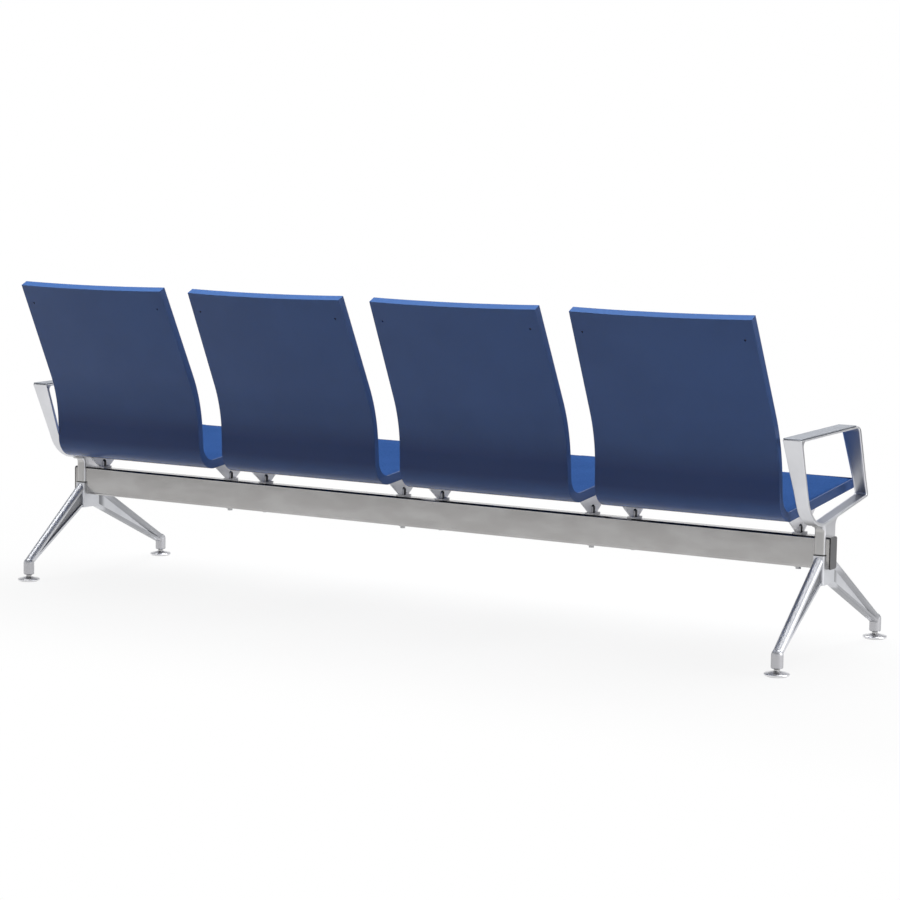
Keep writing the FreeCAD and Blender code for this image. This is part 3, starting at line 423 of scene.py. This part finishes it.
FINISHES = {
    "seat_shell": moulded_shell(),
    "seat_pad": upholstery(),
    "seat_core": plated("core_steel", (0.30, 0.30, 0.31), 0.45),
    "seat_bushes": plated("bush_zinc", (0.55, 0.55, 0.56), 0.3),
    "seat_screws": plated("screw_zinc", (0.60, 0.60, 0.61), 0.25),
    "back_screws": dark_plastic("screw_black", (0.012, 0.012, 0.014), 0.4),
    "beam_tube": beam_metal(),
    "beam_cap": dark_plastic("cap_plastic", (0.125, 0.125, 0.13), 0.42),
    "bracket": bracket_paint(),
    "bracket_bolts": plated("bolt_steel", (0.50, 0.50, 0.51), 0.3),
    "arm": arm_metal(),
    "arm_top": plate_metal(),
    "leg": leg_metal(),
    "bolt": plated("bolt_zinc", (0.50, 0.50, 0.51), 0.3),
    "clamp": plated("clamp_zinc", (0.22, 0.22, 0.23), 0.35),
    "thread_bushes": plated("bush_steel", (0.45, 0.45, 0.46), 0.3),
    "glide_pad": plated("glide_chrome", (0.88, 0.88, 0.90), 0.24),
    "glide_rubber": dark_plastic("glide_rubber", (0.02, 0.02, 0.021), 0.6),
    "glide_stem": plated("stem_steel", (0.50, 0.50, 0.50), 0.3),
}


def finish_for(name):
    """The finish whose key starts the node's name; the longest such key wins."""
    return FINISHES[max((key for key in FINISHES if name.startswith(key)), key=len)]


def mark_faces(piece, name, wanted):
    """Mark the faces of a mesh that a finish treats in its own way."""
    mesh = piece.data
    marks = []
    for face in mesh.polygons:
        marks += [float(wanted(face))] * face.loop_total
    mesh.attributes.new(name, "FLOAT", "CORNER").data.foreach_set("value", marks)


def in_pocket(face):
    """A side face of the sunk web between the ridge and the rim of a limb."""
    return abs(face.normal.x) > POCKET_SIDEWAYS and abs(abs(face.center.x) - CASTING_X) < POCKET_HALF_WIDE


def loop_inside(arm):
    """A test for faces that look into the arm's loop."""
    loop = [v.co for v in arm.data.vertices if v.co.z > LOOP_LOW_Z]
    middle_y = (min(v.y for v in loop) + max(v.y for v in loop)) / 2
    middle_z = (min(v.z for v in loop) + max(v.z for v in loop)) / 2
    middle = Vector((0.0, middle_y, middle_z))

    def looks_in(face):
        way = middle - face.center
        facing = way.y * face.normal.y + way.z * face.normal.z
        return face.center.z > LOOP_LOW_Z and abs(face.normal.x) < LOOP_SIDEWAYS and facing > 0.0

    return looks_in


def on_post_rear(face):
    """The rear face of the post below the loop."""
    return face.normal.y > SQUARE_ON and face.center.z < POST_REAR_TOP_Z


def on_crest(face):
    """The top edge of a seat's back."""
    return face.normal.z > SQUARE_ON and face.center.z > CREST_LOW_Z


def steel_and_painted_shade(bracket):
    """How far a bracket's face leans to dark steel and painted shade: the boss's sides and dome fully, its
    middle and the foot partly.
    """
    xs = [v.co.x for v in bracket.data.vertices]
    middle = (min(xs) + max(xs)) / 2

    def steel_and_shade_share(face):
        if face.center.z < FOOT_TOP_Z:
            return FOOT_PAINTED_SHADE
        off_axis = math.hypot(face.center.x - middle, face.center.y - BEAM_Y)
        if off_axis > BOSS_REACH or face.center.z > BOSS_TOP_Z:
            return 0.0
        if abs(face.normal.x) > SQUARE_ON or face.normal.z > DOME_UPWARD:
            return 1.0
        return BOSS_MIDDLE_STEEL_AND_SHADE

    return steel_and_shade_share


def on_rounded_edge(face):
    """The tube's rounded upper corners."""
    low, high = ROUNDED_EDGE
    return low < face.normal.z < high and abs(face.normal.x) < ROUNDED_SIDEWAYS


for node_name, node in NODES.items():
    for material_slot in node.material_slots:
        material_slot.material = finish_for(node_name)
    if node_name.startswith("leg_"):
        # pocket faces are marked for painted shade
        mark_faces(node, "pocket", in_pocket)
    elif node_name.startswith("arm_") and "top" not in node_name:
        # faces inside the loop and the post's rear face are marked for painted shade
        mark_faces(node, "inside", loop_inside(node))
        mark_faces(node, "post_rear_painted_shade", on_post_rear)
    elif node_name.startswith("seat_shell"):
        # rim faces are marked for painted shade, the top edge for painted light
        mark_faces(node, "rim", lambda face: abs(face.normal.x) > RIM_SIDEWAYS)
        mark_faces(node, "crest_painted_light", on_crest)
    elif node_name.startswith("bracket_") and "bolts" not in node_name:
        # the boss and foot are marked for dark steel with painted shade
        mark_faces(node, "steel_and_shade", steel_and_painted_shade(node))
    elif node_name == "beam_tube":
        # the rounded upper corners are marked for a painted dark reflection
        mark_faces(node, "edge", on_rounded_edge)
    elif node_name.startswith("beam_cap"):
        # the cap's front and rear faces are marked for blotched painted shade
        mark_faces(node, "edge", lambda face: abs(face.normal.y) > SQUARE_ON)


# Upholstered pads

def make_pad(node_name):
    pad = NODES[node_name].copy()
    pad.data = NODES[node_name].data.copy()
    pad.parent = None
    for key in list(pad.keys()):
        del pad[key]
    bpy.context.scene.collection.objects.link(pad)
    pad.name = node_name.replace("pad", "cushion")
    select_only(pad)
    bpy.ops.object.mode_set(mode="EDIT")
    bpy.ops.mesh.select_all(action="SELECT")
    bpy.ops.mesh.remove_doubles(threshold=PAD_WELD)
    bpy.ops.object.mode_set(mode="OBJECT")
    apply_modifier(pad, "REMESH", mode="VOXEL", voxel_size=PAD_VOXEL, use_smooth_shade=True)
    apply_modifier(pad, "SMOOTH", factor=0.5, iterations=PAD_SMOOTHING)
    swell(pad)
    apply_modifier(pad, "SUBSURF", levels=1, render_levels=1)
    pad.data.materials.clear()
    pad.data.materials.append(FINISHES["seat_pad"])
    select_only(pad)
    bpy.ops.object.shade_smooth()
    return pad


def swell(pad):
    """Cloth under pressure: the sitting side rises while edges and underside stay held."""
    mesh = pad.data
    low = Vector([min(v.co[i] for v in mesh.vertices) for i in range(3)])
    high = Vector([max(v.co[i] for v in mesh.vertices) for i in range(3)])
    rest = [v.co.copy() for v in mesh.vertices]
    sitting_way = Vector(PAD_SITTING_WAY)
    held = pad.vertex_groups.new(name="held")
    for v in mesh.vertices:
        edge = min(v.co.x - low.x, high.x - v.co.x, v.co.y - low.y, high.z - v.co.z)
        inside = min(1.0, max(0.0, edge / PAD_HELD_EDGE - PAD_HELD_SHARE))
        facing = min(1.0, max(0.0, PAD_FACING_GAIN * v.normal.dot(sitting_way)))
        held.add([v.index], 1.0 - inside * facing, "REPLACE")
    select_only(pad)
    cloth = pad.modifiers.new("cloth", "CLOTH")
    cloth.settings.vertex_group_mass = "held"
    cloth.settings.use_pressure = True
    cloth.settings.uniform_pressure_force = PAD_PRESSURE
    cloth.settings.effector_weights.gravity = 0.0
    cloth.settings.quality = 4
    cloth.settings.tension_stiffness = PAD_STIFFNESS
    cloth.settings.compression_stiffness = PAD_STIFFNESS
    cloth.point_cache.frame_end = PAD_FRAMES
    for step in range(1, PAD_FRAMES + 1):
        bpy.context.scene.frame_set(step)
    bpy.ops.object.modifier_apply(modifier=cloth.name)
    bpy.context.scene.frame_set(1)
    for v, start in zip(mesh.vertices, rest):
        shift = v.co - start
        if shift.length > PAD_SWELL_CAP:
            v.co = start + shift * (PAD_SWELL_CAP / shift.length)


def copy_of_pad(pad, step, name):
    """The same pad again, a step along the beam."""
    again = pad.copy()
    again.data = pad.data.copy()
    again.name = name
    bpy.context.scene.collection.objects.link(again)
    again.data.transform(Matrix.Translation(step))
    return again


pad_names = sorted(name for name in NODES if name.startswith("seat_pad_"))
first_pad = make_pad(pad_names[0])
first_middle = sum(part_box(pad_names[0]), Vector()) / 2
cushions = {pad_names[0]: first_pad}
for name in pad_names[1:]:
    pad_step = sum(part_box(name), Vector()) / 2 - first_middle
    cushions[name] = copy_of_pad(first_pad, pad_step, name.replace("pad", "cushion"))
for name, cushion in cushions.items():
    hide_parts(name)
    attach(cushion, "bench")


# Floor, light and camera

def shows_background(finish):
    """1 for rays that should meet the plain white background: seen, mirrored or refracted."""
    path = finish.tree.nodes.new("ShaderNodeLightPath")
    kinds = ("Is Camera Ray", "Is Glossy Ray", "Is Transmission Ray")
    seen, mirrored, refracted = (Socket(finish, path.outputs[kind]) for kind in kinds)
    return seen.most(mirrored).most(refracted)


def make_floor():
    """White paper: where it is seen or mirrored nearly plain white, with a little light and shadow."""
    bpy.ops.object.select_all(action="DESELECT")
    bpy.ops.mesh.primitive_plane_add(size=FLOOR_REACH, location=(0.0, 0.0, 0.0))
    floor = bpy.context.active_object
    floor.name = "studio_floor"
    f = Finish("studio_floor")
    away = abs(f.x / FLOOR_LIT_WIDE).most(abs(f.y / FLOOR_LIT_DEEP)).between(*FLOOR_FADE)
    f.set(Base_Color=FLOOR_COLOUR, Roughness=0.9, Specular_IOR_Level=0.0)
    white = f.node("ShaderNodeEmission", inputs={"Color": (1.0, 1.0, 1.0, 1.0), "Strength": 1.0})
    mix = f.node("ShaderNodeMixShader", inputs={
        0: shows_background(f) * (FLOOR_SHARE + (1.0 - FLOOR_SHARE) * away),
        1: Socket(f, f.shader.outputs[0]), 2: white})
    f.feed(f.tree.nodes["Material Output"].inputs["Surface"], mix)
    floor.data.materials.append(f.material)


def make_surround():
    """Grey studio floor round the white paper, met by reflections only, for the metal's contrast."""
    bpy.ops.object.select_all(action="DESELECT")
    bpy.ops.mesh.primitive_plane_add(size=FLOOR_REACH, location=(0.0, 0.0, SURROUND_LIFT))
    surround = bpy.context.active_object
    surround.name = "studio_surround"
    f = Finish("studio_surround")
    grey = f.node("ShaderNodeEmission", inputs={"Color": (*STUDIO_GREY, 1.0), "Strength": 1.0})
    clear = f.node("ShaderNodeBsdfTransparent")
    mix = f.node("ShaderNodeMixShader", inputs={
        0: f.sweep_distance().between(1.0, 1.0 + SWEEP_FADE), 1: clear, 2: grey})
    f.feed(f.tree.nodes["Material Output"].inputs["Surface"], mix)
    surround.data.materials.append(f.material)
    surround.visible_camera = False
    surround.visible_diffuse = False
    surround.visible_shadow = False
    surround.visible_transmission = False


class Sky(Finish):
    """The world's node tree, made with the same helpers as a material."""

    def __init__(self, world):
        world.use_nodes = True
        self.tree = world.node_tree
        self.shader = self.tree.nodes["Background"]


def make_sky():
    """Where it is seen or mirrored, white near the horizon and grey overhead; its own light is faint."""
    world = bpy.data.worlds.new("studio_sky")
    bpy.context.scene.world = world
    sky = Sky(world)
    way = sky.node("ShaderNodeTexCoord", output="Generated")
    height = sky.node("ShaderNodeSeparateXYZ", inputs={0: way}, output=2)
    overhead = height.between(0.12, 0.55)
    shown = sky.blend(overhead, (1.0, 1.0, 1.0), SKY_OVERHEAD)
    lit = (SKY_LEVEL, SKY_LEVEL, SKY_LEVEL)
    sky.set(Color=sky.blend(shows_background(sky), lit, shown))


def make_lamp(name, place, aim, size, watts):
    """A rectangular lamp at one place, aimed at another."""
    lamp = bpy.data.lights.new(name, "AREA")
    lamp.shape = "RECTANGLE"
    lamp.size, lamp.size_y = size
    lamp.energy = watts
    holder = bpy.data.objects.new(name, lamp)
    bpy.context.scene.collection.objects.link(holder)
    holder.location = place
    holder.rotation_euler = (Vector(aim) - Vector(place)).to_track_quat("-Z", "Y").to_euler()


def make_camera():
    """The photograph's viewpoint, measured from the seating itself."""
    azimuth = math.radians(CAMERA_AZIMUTH)
    elevation = math.radians(CAMERA_ELEVATION)
    roll = math.radians(CAMERA_ROLL)
    back = Vector((math.sin(azimuth) * math.cos(elevation),
                   -math.cos(azimuth) * math.cos(elevation), math.sin(elevation)))
    level_right = Vector((math.cos(azimuth), math.sin(azimuth), 0.0))
    level_up = back.cross(level_right)
    right = level_right * math.cos(roll) + level_up * math.sin(roll)
    up = level_up * math.cos(roll) - level_right * math.sin(roll)
    data = bpy.data.cameras.new("photo_camera")
    data.sensor_width = CAMERA_SENSOR
    data.lens = CAMERA_LENS
    data.clip_end = 200.0
    camera = bpy.data.objects.new("photo_camera", data)
    bpy.context.scene.collection.objects.link(camera)
    turn = Matrix((right, up, back)).transposed().to_4x4()
    camera.matrix_world = Matrix.Translation(CAMERA_PLACE) @ turn
    bpy.context.scene.camera = camera


make_floor()
make_surround()
make_sky()
make_lamp("key", KEY_PLACE, KEY_AIM, KEY_SIZE, KEY_WATTS)
make_lamp("side", SIDE_PLACE, SIDE_AIM, SIDE_SIZE, SIDE_WATTS)
make_camera()
bpy.context.scene.view_settings.view_transform = "Standard"
